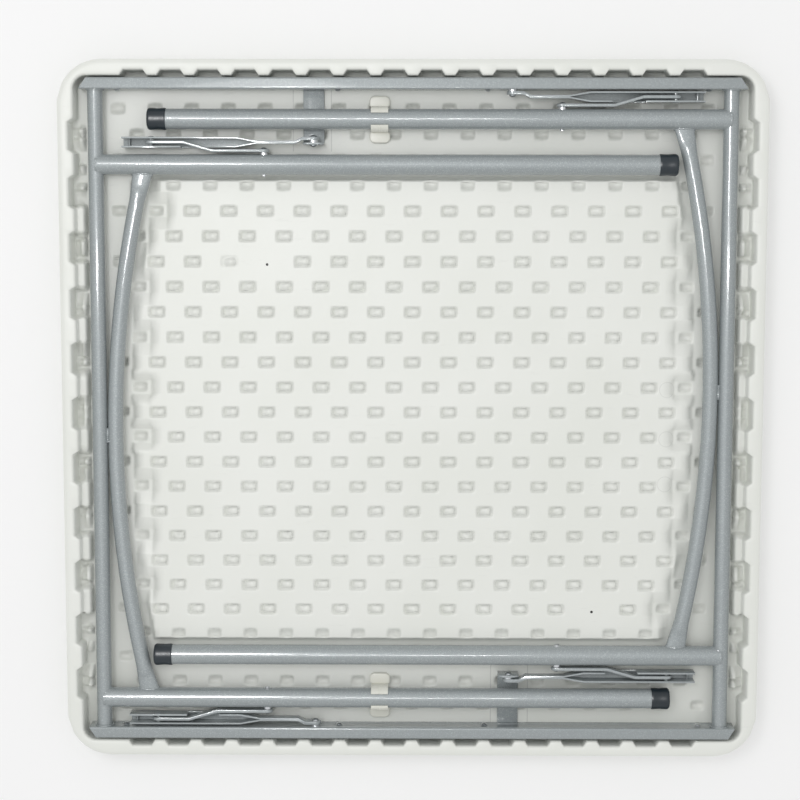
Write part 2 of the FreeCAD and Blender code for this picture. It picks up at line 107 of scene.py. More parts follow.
class TableTopSizes(bpy.types.PropertyGroup):
    corner: length("Corner radius", "Outer corner of the top, in plan", 55 * MM)
    rim: length("Rim width", "Flat width of the raised rim", 21 * MM)
    recess_corner: length("Recess corner", "Inner corner of the rim, in plan", 16 * MM)
    deck: length("Recess floor", "Height of the recess floor", 15.5 * MM)
    panel_rise: length("Panel rise", "Middle panel above the recess floor", 8 * MM)
    panel_half: length("Panel half width", "Middle panel's edge beside the legs", 291 * MM)
    pitch_x: length("Dimple pitch", "Between dimples along a row", 45.5 * MM)
    pitch_y: length("Row pitch", "Between rows of dimples", 31.35 * MM)
    dimple_x: length("Dimple half length", "Half the mouth of a dimple along its row", 10 * MM)
    dimple_y: length("Dimple half width", "Half the mouth of a dimple across its row", 7.0 * MM)
    dimple_depth: length("Dimple depth", "Depth of a dimple in the middle panel", 7.5 * MM)
    small_depth: length("Small dimple depth", "Depth of a dimple in the recess floor", 6 * MM)
    notch_depth: length("Notch depth", "Depth of the rim's notches", 6.6 * MM)
    notch_chamfer: length("Notch slope", "Length of a notch's sloped end", 4.7 * MM)
    notch_x: length("Notch mouth", "Mouth of a notch in the front and back rims", 33.6 * MM)
    notch_y: length("Side notch mouth", "Mouth of a notch in the side rims", 43 * MM)
    notch_pitch_y: length("Side notch pitch", "Between notches in the side rims", 68.4 * MM)


class TableFrameSizes(bpy.types.PropertyGroup):
    weld: length("Weld bead", "Width of the weld beads", 3.8 * MM)
    crimp: length("Crimp length", "Flared and flattened length at each end of a brace", 32 * MM)
    clip_width: length("Clip width", "Width of the leg clips", 21.3 * MM)
    clip_wall: length("Clip wall", "Wall of the leg clips", 2.5 * MM)


class TableFinish(bpy.types.PropertyGroup):
    plastic: colour("Moulded plastic", "Off-white polyethylene", (0.795, 0.808, 0.768))
    coat: colour("Powder coat", "Silver-grey sparkling coat", (0.285, 0.315, 0.322))
    zinc: colour("Zinc", "Bright plated rivets", (0.62, 0.64, 0.66))
    rubber: colour("Cap rubber", "Charcoal foot caps", (0.008, 0.015, 0.021))
    clip: colour("Clip plastic", "Creamy white clips", (0.78, 0.78, 0.71))


# ------------------------------------------------------------------ node helpers
def wire(tree, *pairs):
    for start, end in pairs:
        tree.links.new(start, end)


def math_node(tree, operation, a, b=None, c=None):
    node = tree.nodes.new("ShaderNodeMath")
    node.operation = operation
    for slot, value in enumerate((a, b, c)):
        if value is None:
            continue
        if isinstance(value, (int, float)):
            node.inputs[slot].default_value = value
        else:
            tree.links.new(value, node.inputs[slot])
    return node.outputs[0]


def mix_colour(tree, factor, a, b):
    node = tree.nodes.new("ShaderNodeMix")
    node.data_type = "RGBA"
    for socket, value in ((node.inputs[0], factor), (node.inputs[6], a), (node.inputs[7], b)):
        if isinstance(value, tuple):
            socket.default_value = value if len(value) == 4 else value + (1.0,)
        else:
            tree.links.new(value, socket)
    return node.outputs[2]


def noise(tree, vector, scale, detail=3.0, rough=0.5):
    node = tree.nodes.new("ShaderNodeTexNoise")
    node.inputs["Scale"].default_value = scale
    node.inputs["Detail"].default_value = detail
    node.inputs["Roughness"].default_value = rough
    tree.links.new(vector, node.inputs["Vector"])
    return node


def ramp(tree, value, stops):
    node = tree.nodes.new("ShaderNodeValToRGB")
    ends = node.color_ramp.elements
    for i, (place, shade) in enumerate(stops):
        end = ends[i] if i < 2 else ends.new(place)
        end.position = place
        end.color = (shade, shade, shade, 1.0)
    tree.links.new(value, node.inputs[0])
    return node.outputs[0]


def group_tree(name, inputs, outputs):
    tree = bpy.data.node_groups.new(name, "ShaderNodeTree")
    for label, kind, default in inputs:
        socket = tree.interface.new_socket(name=label, in_out="INPUT", socket_type=kind)
        if default is not None:
            socket.default_value = default
    for label, kind in outputs:
        tree.interface.new_socket(name=label, in_out="OUTPUT", socket_type=kind)
    return tree, tree.nodes.new("NodeGroupInput"), tree.nodes.new("NodeGroupOutput")


def use_group(tree, group, **values):
    node = tree.nodes.new("ShaderNodeGroup")
    node.node_tree = group
    for key, value in values.items():
        socket = node.inputs[key.replace("_", " ")]
        if isinstance(value, (int, float, tuple)):
            socket.default_value = value
        else:
            tree.links.new(value, socket)
    return node


def make_grain_group():
    """Fine surface grain: a height for bump and a matching mask."""
    tree, start, end = group_tree(
        "surface_grain",
        [("Vector", "NodeSocketVector", None), ("Fine Scale", "NodeSocketFloat", 1500.0),
         ("Wave Scale", "NodeSocketFloat", 60.0), ("Wave Share", "NodeSocketFloat", 0.4)],
        [("Height", "NodeSocketFloat"), ("Mask", "NodeSocketFloat")])
    fine = noise(tree, start.outputs["Vector"], 1500.0, 2.0, 0.6)
    wave = noise(tree, start.outputs["Vector"], 60.0, 2.0, 0.5)
    wire(tree, (start.outputs["Fine Scale"], fine.inputs["Scale"]),
         (start.outputs["Wave Scale"], wave.inputs["Scale"]))
    waves = math_node(tree, "MULTIPLY", wave.outputs["Fac"], start.outputs["Wave Share"])
    wire(tree, (math_node(tree, "ADD", fine.outputs["Fac"], waves), end.inputs["Height"]),
         (ramp(tree, fine.outputs["Fac"], [(0.35, 0.0), (0.65, 1.0)]), end.inputs["Mask"]))
    return tree


def make_sparkle_group():
    """Bright flakes of a metallic coat, each small cell with its own shade."""
    tree, start, end = group_tree(
        "coat_sparkle",
        [("Vector", "NodeSocketVector", None), ("Scale", "NodeSocketFloat", 1100.0),
         ("Share", "NodeSocketFloat", 0.3)],
        [("Flakes", "NodeSocketFloat"), ("Shade", "NodeSocketFloat")])
    cells = tree.nodes.new("ShaderNodeTexVoronoi")
    wire(tree, (start.outputs["Vector"], cells.inputs["Vector"]),
         (start.outputs["Scale"], cells.inputs["Scale"]))
    split = tree.nodes.new("ShaderNodeSeparateColor")
    wire(tree, (cells.outputs["Color"], split.inputs[0]))
    limit = math_node(tree, "SUBTRACT", 1.0, start.outputs["Share"])
    wire(tree, (math_node(tree, "GREATER_THAN", split.outputs[0], limit), end.inputs["Flakes"]),
         (split.outputs[1], end.inputs["Shade"]))
    return tree


def make_dust_group():
    """Handling marks: soft cloudy patches and a few faint streaks."""
    tree, start, end = group_tree(
        "handling_marks",
        [("Vector", "NodeSocketVector", None), ("Patch Scale", "NodeSocketFloat", 6.0),
         ("Streak Scale", "NodeSocketFloat", 40.0)],
        [("Patches", "NodeSocketFloat"), ("Streaks", "NodeSocketFloat")])
    patch = noise(tree, start.outputs["Vector"], 6.0, 4.0, 0.55)
    stretch = tree.nodes.new("ShaderNodeMapping")
    stretch.inputs["Scale"].default_value = (1.0, 6.0, 1.0)
    stretch.inputs["Rotation"].default_value = (0.0, 0.0, 0.5)
    streak = noise(tree, stretch.outputs[0], 40.0, 4.0, 0.7)
    wire(tree, (start.outputs["Patch Scale"], patch.inputs["Scale"]),
         (start.outputs["Streak Scale"], streak.inputs["Scale"]),
         (start.outputs["Vector"], stretch.inputs["Vector"]))
    wire(tree, (ramp(tree, patch.outputs["Fac"], [(0.35, 0.0), (0.7, 1.0)]), end.inputs["Patches"]),
         (ramp(tree, streak.outputs["Fac"], [(0.62, 0.0), (0.72, 1.0)]), end.inputs["Streaks"]))
    return tree


def near_line(tree, value, place, half):
    """1 within half of a place along an axis, 0 beyond it."""
    return math_node(tree, "COMPARE", value, place, half)


# Painted shade: the step edges of a shallow recessed pad in each leg strip are drawn as dark lines, the
# ejector circles' shallow steps as fainter dark rings, and the vent holes as near-black discs.
PAD_STEP_SHADE_LINES = ((-0.1476, 0.368), (-0.1005, 0.368), (0.1476, -0.368), (0.1005, -0.368))
EJECTOR_RINGS = ((0.318, 0.029), (0.318, -0.033), (0.317, -0.090))
VENT_HOLES = ((-0.1805, 0.1846), (0.2272, -0.2533))


def distance_from(tree, x, y, place):
    """Distance in plan from a place on the underside."""
    return math_node(tree, "SQRT", math_node(tree, "ADD", squared(tree, x, place[0]),
                                             squared(tree, y, place[1])))


def make_mould_shade_group():
    """Painted shade for small moulded features: dark lines at the edges of a shallow recessed pad in each leg
    strip, fainter dark rings at the shallow ejector circle steps, and near-black discs for two vent holes,
    which are not cut in the mesh.
    """
    tree, start, end = group_tree(
        "mould_step_shade", [("Vector", "NodeSocketVector", None)],
        [("Step Groove And Shade", "NodeSocketFloat"), ("Hole Shade", "NodeSocketFloat")])
    split = tree.nodes.new("ShaderNodeSeparateXYZ")
    wire(tree, (start.outputs["Vector"], split.inputs[0]))
    x, y = split.outputs[0], split.outputs[1]
    lines, holes = None, None
    # Painted shade along the pad step edges, and at half strength round the ejector circle steps.
    for place, strip in PAD_STEP_SHADE_LINES:
        one = math_node(tree, "MULTIPLY", near_line(tree, x, place, 0.0006), near_line(tree, y, strip, 0.044))
        lines = one if lines is None else math_node(tree, "MAXIMUM", lines, one)
    for place in EJECTOR_RINGS:
        ring = near_line(tree, distance_from(tree, x, y, place), 0.0095, 0.0005)
        lines = math_node(tree, "MAXIMUM", lines, math_node(tree, "MULTIPLY", ring, 0.5))
    # Painted shade: near-black discs for the dark inside of the vent holes.
    for place in VENT_HOLES:
        one = math_node(tree, "LESS_THAN", distance_from(tree, x, y, place), 0.0017)
        holes = one if holes is None else math_node(tree, "MAXIMUM", holes, one)
    wire(tree, (lines, end.inputs["Step Groove And Shade"]), (holes, end.inputs["Hole Shade"]))
    return tree


def squared(tree, value, place):
    off = math_node(tree, "SUBTRACT", value, place)
    return math_node(tree, "MULTIPLY", off, off)


def group(name, maker):
    return bpy.data.node_groups.get(name) or maker()


def material(name):
    made = bpy.data.materials.new(name)
    made.use_nodes = True
    tree = made.node_tree
    shader = tree.nodes["Principled BSDF"]
    where = tree.nodes.new("ShaderNodeTexCoord").outputs["Object"]
    return made, tree, shader, where


def bump(tree, height, strength, distance, shader):
    node = tree.nodes.new("ShaderNodeBump")
    node.inputs["Strength"].default_value = strength
    node.inputs["Distance"].default_value = distance
    wire(tree, (height, node.inputs["Height"]), (node.outputs[0], shader.inputs["Normal"]))


def plastic_material(name, rgb, rough, marks, moulded=False):
    made, tree, shader, where = material(name)
    grain = use_group(tree, group("surface_grain", make_grain_group), Vector=where,
                      Fine_Scale=1300.0, Wave_Scale=45.0, Wave_Share=1.2)
    dust = use_group(tree, group("handling_marks", make_dust_group), Vector=where,
                     Patch_Scale=7.0, Streak_Scale=30.0)
    base = tuple(rgb) + (1.0,)
    dim = tuple(c * k for c, k in zip(rgb, (0.95, 0.955, 0.94))) + (1.0,)
    pale = mix_colour(tree, math_node(tree, "MULTIPLY", dust.outputs["Patches"], marks), base, dim)
    grey = tuple(c * 0.90 for c in rgb) + (1.0,)
    shade = mix_colour(tree, math_node(tree, "MULTIPLY", dust.outputs["Streaks"], marks * 0.5), pale, grey)
    height = grain.outputs["Height"]
    if moulded:
        # Painted shade: the pad step edges and ejector circle steps are darkened towards 0.78 of the
        # plastic's colour, and the vent holes are painted near-black for their dark inside; the same lines
        # also sink the bump a little.
        mould = use_group(tree, group("mould_step_shade", make_mould_shade_group), Vector=where)
        line = tuple(c * 0.78 for c in rgb) + (1.0,)
        shade = mix_colour(tree, mould.outputs["Step Groove And Shade"], shade, line)
        shade = mix_colour(tree, mould.outputs["Hole Shade"], shade, (0.012, 0.011, 0.010, 1.0))
        height = math_node(tree, "SUBTRACT", height, math_node(tree, "MULTIPLY", mould.outputs["Step Groove And Shade"], 1.5))
    wire(tree, (shade, shader.inputs["Base Color"]))
    spread = math_node(tree, "MULTIPLY_ADD", grain.outputs["Mask"], 0.10, rough)
    wire(tree, (spread, shader.inputs["Roughness"]))
    shader.inputs["IOR"].default_value = 1.5
    shader.inputs["Specular IOR Level"].default_value = 0.35
    bump(tree, height, 0.10, 0.0004, shader)
    return made


def coat_material(name, rgb, metal, rough, sparkle):
    made, tree, shader, where = material(name)
    grain = use_group(tree, group("surface_grain", make_grain_group), Vector=where,
                      Fine_Scale=620.0, Wave_Scale=240.0, Wave_Share=0.4)
    flakes = use_group(tree, group("coat_sparkle", make_sparkle_group), Vector=where,
                       Scale=1250.0, Share=0.14)
    dust = use_group(tree, group("handling_marks", make_dust_group), Vector=where,
                     Patch_Scale=9.0, Streak_Scale=55.0)
    base = tuple(rgb) + (1.0,)
    bright = tuple(min(1.0, c * 1.7) for c in rgb) + (1.0,)
    dim = tuple(c * 0.86 for c in rgb) + (1.0,)
    shade = mix_colour(tree, math_node(tree, "MULTIPLY", flakes.outputs["Shade"], 0.5), base, dim)
    spark = mix_colour(tree, math_node(tree, "MULTIPLY", flakes.outputs["Flakes"], sparkle), shade, bright)
    worn = mix_colour(tree, math_node(tree, "MULTIPLY", dust.outputs["Streaks"], 0.12), spark, bright)
    wire(tree, (worn, shader.inputs["Base Color"]))
    shader.inputs["Metallic"].default_value = metal
    shader.inputs["Coat Weight"].default_value = 1.0
    shader.inputs["Coat Roughness"].default_value = 0.10
    spread = math_node(tree, "MULTIPLY_ADD", dust.outputs["Patches"], 0.06, rough)
    wire(tree, (math_node(tree, "MULTIPLY_ADD", grain.outputs["Mask"], 0.08, spread),
                shader.inputs["Roughness"]))
    bump(tree, grain.outputs["Height"], 0.42, 0.0006, shader)
    return made


def zinc_material(name, rgb):
    made, tree, shader, where = material(name)
    grain = use_group(tree, group("surface_grain", make_grain_group), Vector=where,
                      Fine_Scale=1600.0, Wave_Scale=400.0, Wave_Share=0.6)
    flakes = use_group(tree, group("coat_sparkle", make_sparkle_group), Vector=where,
                       Scale=500.0, Share=0.4)
    base = tuple(rgb) + (1.0,)
    dim = tuple(c * 0.8 for c in rgb) + (1.0,)
    wire(tree, (mix_colour(tree, flakes.outputs["Shade"], base, dim), shader.inputs["Base Color"]))
    shader.inputs["Metallic"].default_value = 1.0
    wire(tree, (math_node(tree, "MULTIPLY_ADD", grain.outputs["Mask"], 0.10, 0.22),
                shader.inputs["Roughness"]))
    bump(tree, grain.outputs["Height"], 0.12, 0.0003, shader)
    return made


def rubber_material(name, rgb):
    made, tree, shader, where = material(name)
    grain = use_group(tree, group("surface_grain", make_grain_group), Vector=where,
                      Fine_Scale=1100.0, Wave_Scale=120.0, Wave_Share=0.8)
    dust = use_group(tree, group("handling_marks", make_dust_group), Vector=where,
                     Patch_Scale=30.0, Streak_Scale=90.0)
    base = tuple(rgb) + (1.0,)
    dusty = tuple(c * 1.7 + 0.01 for c in rgb) + (1.0,)
    shade = mix_colour(tree, math_node(tree, "MULTIPLY", dust.outputs["Patches"], 0.5), base, dusty)
    wire(tree, (shade, shader.inputs["Base Color"]))
    wire(tree, (math_node(tree, "MULTIPLY_ADD", grain.outputs["Mask"], 0.12, 0.30),
                shader.inputs["Roughness"]))
    bump(tree, grain.outputs["Height"], 0.12, 0.0004, shader)
    return made


def finish(slot):
    """The finish for a material slot, made the first time it is asked for."""
    name = slot + "_finish"
    made = bpy.data.materials.get(name)
    if made:
        return made
    tones = bpy.context.scene.table_finish
    if slot == "moulded_plastic":
        return plastic_material(name, tones.plastic, 0.42, 0.8, True)
    if slot == "clip_plastic":
        return plastic_material(name, tones.clip, 0.34, 0.4)
    if slot == "powder_coat":
        return coat_material(name, tones.coat, 0.20, 0.50, 0.35)
    if slot == "zinc_steel":
        return zinc_material(name, tones.zinc)
    if slot == "cap_rubber":
        return rubber_material(name, tones.rubber)
    raise RuntimeError(f"no finish is named {slot}")


# ------------------------------------------------------------------ modelling helpers
def start_clean():
    if bpy.context.object and bpy.context.object.mode != "OBJECT":
        bpy.ops.object.mode_set(mode="OBJECT")
    bpy.ops.object.select_all(action="DESELECT")


def take(name):
    """Names the object just added and puts its place into its mesh."""
    piece = bpy.context.object
    piece.name = name
    piece.data.name = name
    bpy.ops.object.transform_apply(location=True, rotation=True, scale=True)
    return piece


def choose(piece):
    """Makes a piece the only selected one."""
    start_clean()
    piece.select_set(True)
    bpy.context.view_layer.objects.active = piece


def edit(piece, kind="VERT"):
    choose(piece)
    bpy.ops.object.mode_set(mode="EDIT")
    bpy.ops.mesh.select_mode(type=kind)


def pick(piece, kind, test):
    """Selects only the edges or faces whose centre passes the test."""
    bpy.ops.mesh.select_all(action="DESELECT")
    mesh = bmesh.from_edit_mesh(piece.data)
    found = 0
    for item in mesh.edges if kind == "EDGE" else mesh.faces:
        if kind == "EDGE":
            middle = (item.verts[0].co + item.verts[1].co) / 2
        else:
            middle = item.calc_center_median()
        if test(middle, item):
            item.select_set(True)
            found += 1
    mesh.select_flush_mode()
    bmesh.update_edit_mesh(piece.data)
    if not found:
        raise RuntimeError(f"nothing was selected on {piece.name}")


def leave(piece, angle=40.0):
    """Back to object mode with clean outward normals and smooth shading under the angle."""
    bpy.ops.mesh.select_all(action="SELECT")
    bpy.ops.mesh.remove_doubles(threshold=1e-6)
    bpy.ops.mesh.normals_make_consistent(inside=False)
    bpy.ops.object.mode_set(mode="OBJECT")
    smooth(piece, angle)


def smooth(piece, angle):
    choose(piece)
    bpy.ops.object.shade_smooth_by_angle(angle=math.radians(angle))


def modify(piece, kind, **values):
    choose(piece)
    made = piece.modifiers.new(kind.title(), kind)
    for key, value in values.items():
        setattr(made, key, value)
    bpy.ops.object.modifier_apply(modifier=made.name)


def coords(piece):
    flat = np.empty(len(piece.data.vertices) * 3)
    piece.data.vertices.foreach_get("co", flat)
    return flat.reshape(-1, 3)


def set_coords(piece, places):
    piece.data.vertices.foreach_set("co", np.ascontiguousarray(places).ravel())
    piece.data.update()


def dress(piece, body, slot, *nodes):
    piece.data.materials.clear()
    piece.data.materials.append(finish(slot))
    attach(piece, body)
    if nodes:
        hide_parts(*nodes)


def half_turned(piece, name):
    """A copy of a piece turned half round about the middle of the table."""
    copy = piece.copy()
    copy.data = piece.data.copy()
    copy.name = copy.data.name = name
    bpy.context.scene.collection.objects.link(copy)
    copy.data.transform(Matrix.Rotation(math.pi, 4, "Z"))
    return copy


# ------------------------------------------------------------------ the moulded top
PANEL_GAP = 8 * MM                                  # brace to the middle panel's edge
PANEL_ROW = 13 * MM                                 # a dimple this far inside the panel is on it
SCALLOP_ROW = -16 * MM                              # one nearer its edge than this scallops the edge
LAST_DIMPLE_X, LAST_DIMPLE_Y = 370 * MM, 385 * MM   # how far out the dimples go
LAST_NOTCH, LAST_LOBE, LAST_MOUND = 350 * MM, 345 * MM, 274 * MM
SIDE_X = 408.3 * MM                                 # middle of the strip between hinge tube and side rim
KNOB_Y = 301 * MM
FOOT_IN = 1.2 * MM                                  # the floor's last grid line, inside the wall's foot

# Half length, half width and corner radius of each raised or sunk shape, in plan.
SCALLOP = (15.5 * MM, 12.5 * MM, 7 * MM)
GATE = (9.6 * MM, 14 * MM, 3 * MM)
SMALL_DIMPLE = (8.4 * MM, 6.0 * MM, 4 * MM)
LOBE = (5.0 * MM, 5.4 * MM, 4 * MM)
MOUND = (8.4 * MM, 19.5 * MM, 6 * MM)
KNOB = (6 * MM, 6 * MM, 4.5 * MM)
BOSS_RISE, RIDGE_RISE, SMALL_RISE = 6.2 * MM, 4.6 * MM, 2.8 * MM
LOBE_RISE, MOUND_RISE, KNOB_RISE = 11 * MM, 15 * MM, 12 * MM

# Where the grid lines lie, in mm: beside each dimple, along the side strips and along the panel's edges.
DIMPLE_LINES_X = (0.0, 5.95, 8.3, 10.65)
DIMPLE_LINES_Y = (2.6, 5.0, 7.2, 8.6)
SIDE_LINES = (399.5, 401.5, 402.6, 404.0, 406.0, 408.3, 410.2, 411.6)
PANEL_LINES = (286.2, 288.6, 291.0, 293.5)


def step(value, width):
    """Rises smoothly from 0 to 1 as the value goes from 0 to width."""
    t = np.clip(value / width, 0.0, 1.0)
    return t * t * (3 - 2 * t)


def rounded_box(x, y, half_x, half_y, corner):
    """Distance inside a rounded rectangle, negative outside it."""
    qx = np.abs(x) - (half_x - corner)
    qy = np.abs(y) - (half_y - corner)
    outside = np.hypot(np.maximum(qx, 0), np.maximum(qy, 0))
    return corner - outside - np.minimum(np.maximum(qx, qy), 0)


def brace_arc():
    """Centre and radius of the left brace's arc, from where it meets its legs and nears the hinge."""
    middle = (INNER_Y - OUTER_Y) / 2
    half_span = (INNER_Y + OUTER_Y) / 2
    near = BRACE_LOW.x + BRACE_R
    far = -HINGE_X + BRACE_TO_HINGE
    sag = far - near
    radius = (half_span ** 2 + sag ** 2) / (2 * sag)
    return near + radius, middle, radius


def panel_inside(x, y, sizes):
    """Distance inside the raised middle panel, whose side edges follow the braces."""
    centre_x, centre_y, radius = brace_arc()
    edge = radius - BRACE_R - PANEL_GAP
    left = edge - np.hypot(x - centre_x, y - centre_y)
    right = edge - np.hypot(x + centre_x, y + centre_y)
    return np.minimum(np.minimum(left, right), sizes.panel_half - np.abs(y))


def deck_height(x, y, sizes):
    """Height of the moulded underside at each point of the recess."""
    deck, rise = sizes.deck, sizes.panel_rise
    row = np.round(y / sizes.pitch_y)
    odd = np.mod(row, 2)
    centre_x = (np.floor(x / sizes.pitch_x) + 0.5) * sizes.pitch_x * odd \
        + np.round(x / sizes.pitch_x) * sizes.pitch_x * (1 - odd)
    centre_y = row * sizes.pitch_y
    dx, dy = x - centre_x, y - centre_y

    inside = panel_inside(x, y, sizes)
    middle_in = panel_inside(centre_x, centre_y, sizes)
    scallop_near = (middle_in < PANEL_ROW) & (middle_in > SCALLOP_ROW) \
        & (np.abs(centre_y) < sizes.panel_half - 12 * MM)
    scallop = rounded_box(dx, dy, *SCALLOP)
    inside = np.where(scallop_near, np.minimum(inside, -scallop), inside)
    z = deck + rise * step(inside + 1 * MM, 5 * MM)

    on_panel = middle_in >= PANEL_ROW
    end_row = on_panel & (np.abs(row) == round((sizes.panel_half - 9 * MM) / sizes.pitch_y))
    outward = dy * np.sign(centre_y)
    gate = rounded_box(dx, outward - 12 * MM, *GATE)
    z = np.where(end_row, z - (z - deck) * step(gate, 2.6 * MM), z)

    def cell(column, line):
        return (np.abs(centre_x - column * sizes.pitch_x) < MM) & (row == line)

    vent = cell(-4, 6) | cell(5, -8)
    faded = cell(-5, 6)
    big = rounded_box(dx, dy, sizes.dimple_x, sizes.dimple_y, 4 * MM)
    depth = np.where(faded, 0.25, 1.0) * sizes.dimple_depth
    sunk = deck + rise - depth
    boss = BOSS_RISE * step(1.28 - np.hypot((dx + 0.4 * MM) / (5.0 * MM), dy / (4.6 * MM)), 0.6)
    boss = np.maximum(boss, RIDGE_RISE * (np.abs(dx - 5.95 * MM) < MM) * (np.abs(dy) < 3 * MM))
    z = np.where(on_panel & ~vent, z - (z - sunk - boss) * step(big, 2.5 * MM), z)

    small = rounded_box(dx, dy, *SMALL_DIMPLE)
    on_deck = ~on_panel & (np.abs(centre_x) < LAST_DIMPLE_X) & (np.abs(centre_y) < LAST_DIMPLE_Y)
    bump_small = SMALL_RISE * step(1.25 - np.hypot(dx / (5.4 * MM), dy / (4.2 * MM)), 0.75)
    z = np.where(on_deck, z - (sizes.small_depth - bump_small) * step(small, 2.2 * MM), z)

    across = np.abs(x) - SIDE_X
    notch = np.round(y / sizes.notch_pitch_y) * sizes.notch_pitch_y
    off = y - notch
    lobes = rounded_box(across, np.abs(off) - 5.6 * MM, *LOBE)
    z = np.where(np.abs(notch) < LAST_LOBE, z + LOBE_RISE * step(lobes, 2.5 * MM), z)
    between = (np.floor(y / sizes.notch_pitch_y) + 0.5) * sizes.notch_pitch_y
    mound = rounded_box(across - 2.6 * MM, y - between, *MOUND)
    z = np.where(np.abs(between) < LAST_MOUND, z + MOUND_RISE * step(mound, 3.5 * MM), z)
    knob = rounded_box(across - 0.6 * MM, np.abs(y) - KNOB_Y, *KNOB)
    return z + KNOB_RISE * step(knob, 3 * MM)


def notch_shift(along, pitch, count_half, mouth, slope, depth, odd):
    """How far a notched wall steps back at a place along it."""
    cell = (np.floor(along / pitch) + 0.5) * pitch if odd else np.round(along / pitch) * pitch
    away = np.abs(along - cell)
    open_here = np.abs(cell) < count_half
    return np.where(open_here, depth * np.clip((mouth / 2 - away) / slope, 0.0, 1.0), 0.0)


def both_ways(middle, offsets):
    """Places at each offset on both sides of a middle."""
    return {round(middle + side * off, 7) for off in offsets for side in (1, -1)}


def grid_lines(sizes):
    """Where the grid lines of the recess floor lie along X and along Y."""
    wall = HALF - sizes.rim
    xs = both_ways(0, [v * MM for v in SIDE_LINES])
    for i in range(-19, 20):
        xs |= both_ways(i * sizes.pitch_x / 2, [v * MM for v in DIMPLE_LINES_X])
    ys = both_ways(0, [v * MM for v in PANEL_LINES])
    for i in range(-13, 14):
        ys |= both_ways(i * sizes.pitch_y, [v * MM for v in DIMPLE_LINES_Y])
    half = sizes.notch_y / 2
    notches = [i * sizes.notch_pitch_y + side * off for i in range(-5, 6) for side in (1, -1)
               for off in (half, half - sizes.notch_chamfer)]
    ys |= {round(v, 7) for v in notches}

    def clear_of_notches(v):
        """On a notch's own line, or more than a millimetre from all of them."""
        away = min(abs(v - n) for n in notches)
        return away < 1e-6 or away > 1.0 * MM

    xs, ys = (sorted(v for v in values if abs(v) < wall - FOOT_IN) for values in (xs, ys))
    ys = [v for v in ys if clear_of_notches(v)]
    corner = wall - sizes.recess_corner
    for values in (xs, ys):
        values[:] = [v for v in values if abs(v) < corner - MM or abs(v) > corner + MM]
        values += [-wall, -corner, corner, wall]
        values.sort()
    return xs, ys


def rim_places(xs, ys, sizes):
    """For each grid line end round the recess: the wall's foot and the outer edge beside it."""
    wall = HALF - sizes.rim
    corner = sizes.recess_corner
    block = HALF - sizes.corner
    places = {}

    def add(x, y):
        inner = Vector((x, y, 0))
        over_x, over_y = abs(x) - (wall - corner), abs(y) - (wall - corner)
        if over_x > 1e-7 and over_y > 1e-7:
            u, v = over_x / corner, over_y / corner
            inner.x = math.copysign(wall - corner + corner * u * math.sqrt(1 - v * v / 2), x)
            inner.y = math.copysign(wall - corner + corner * v * math.sqrt(1 - u * u / 2), y)
        elif abs(y) >= abs(x):
            inner.y += math.copysign(float(notch_shift(
                np.array(x), sizes.pitch_x, LAST_NOTCH, sizes.notch_x, sizes.notch_chamfer,
                sizes.notch_depth, True)), y)
        else:
            inner.x += math.copysign(float(notch_shift(
                np.array(y), sizes.notch_pitch_y, LAST_NOTCH, sizes.notch_y, sizes.notch_chamfer,
                sizes.notch_depth, False)), x)
        if abs(inner.x) > block and abs(inner.y) > block:
            mid = Vector((math.copysign(block, x), math.copysign(block, y), 0))
            out = (inner - mid).normalized()
            outer = mid + out * sizes.corner
        elif abs(y) >= abs(x):
            out = Vector((0, math.copysign(1, y), 0))
            outer = Vector((inner.x, math.copysign(HALF, y), 0))
        else:
            out = Vector((math.copysign(1, x), 0, 0))
            outer = Vector((math.copysign(HALF, x), inner.y, 0))
        places[(round(x, 6), round(y, 6))] = (inner, outer, out)

    for x in xs:
        add(x, ys[0])
        add(x, ys[-1])
    for y in ys:
        add(xs[0], y)
        add(xs[-1], y)
    return places


# In mm: outwards from the wall's foot or inwards from the outer edge, and height.
WALL_PROFILE = [(-0.3, 16.4), (0.1, 18.5), (0.9, 40.0), (1.3, 42.6), (2.3, 44.4), (4.2, 45.0)]
EDGE_PROFILE = [(6.5, 45.0), (3.4, 44.5), (1.3, 43.0), (0.25, 40.6), (0.0, 38.0), (0.0, 6.0), (0.4, 3.0),
                (1.5, 1.1), (3.4, 0.0), (9.0, 0.0)]


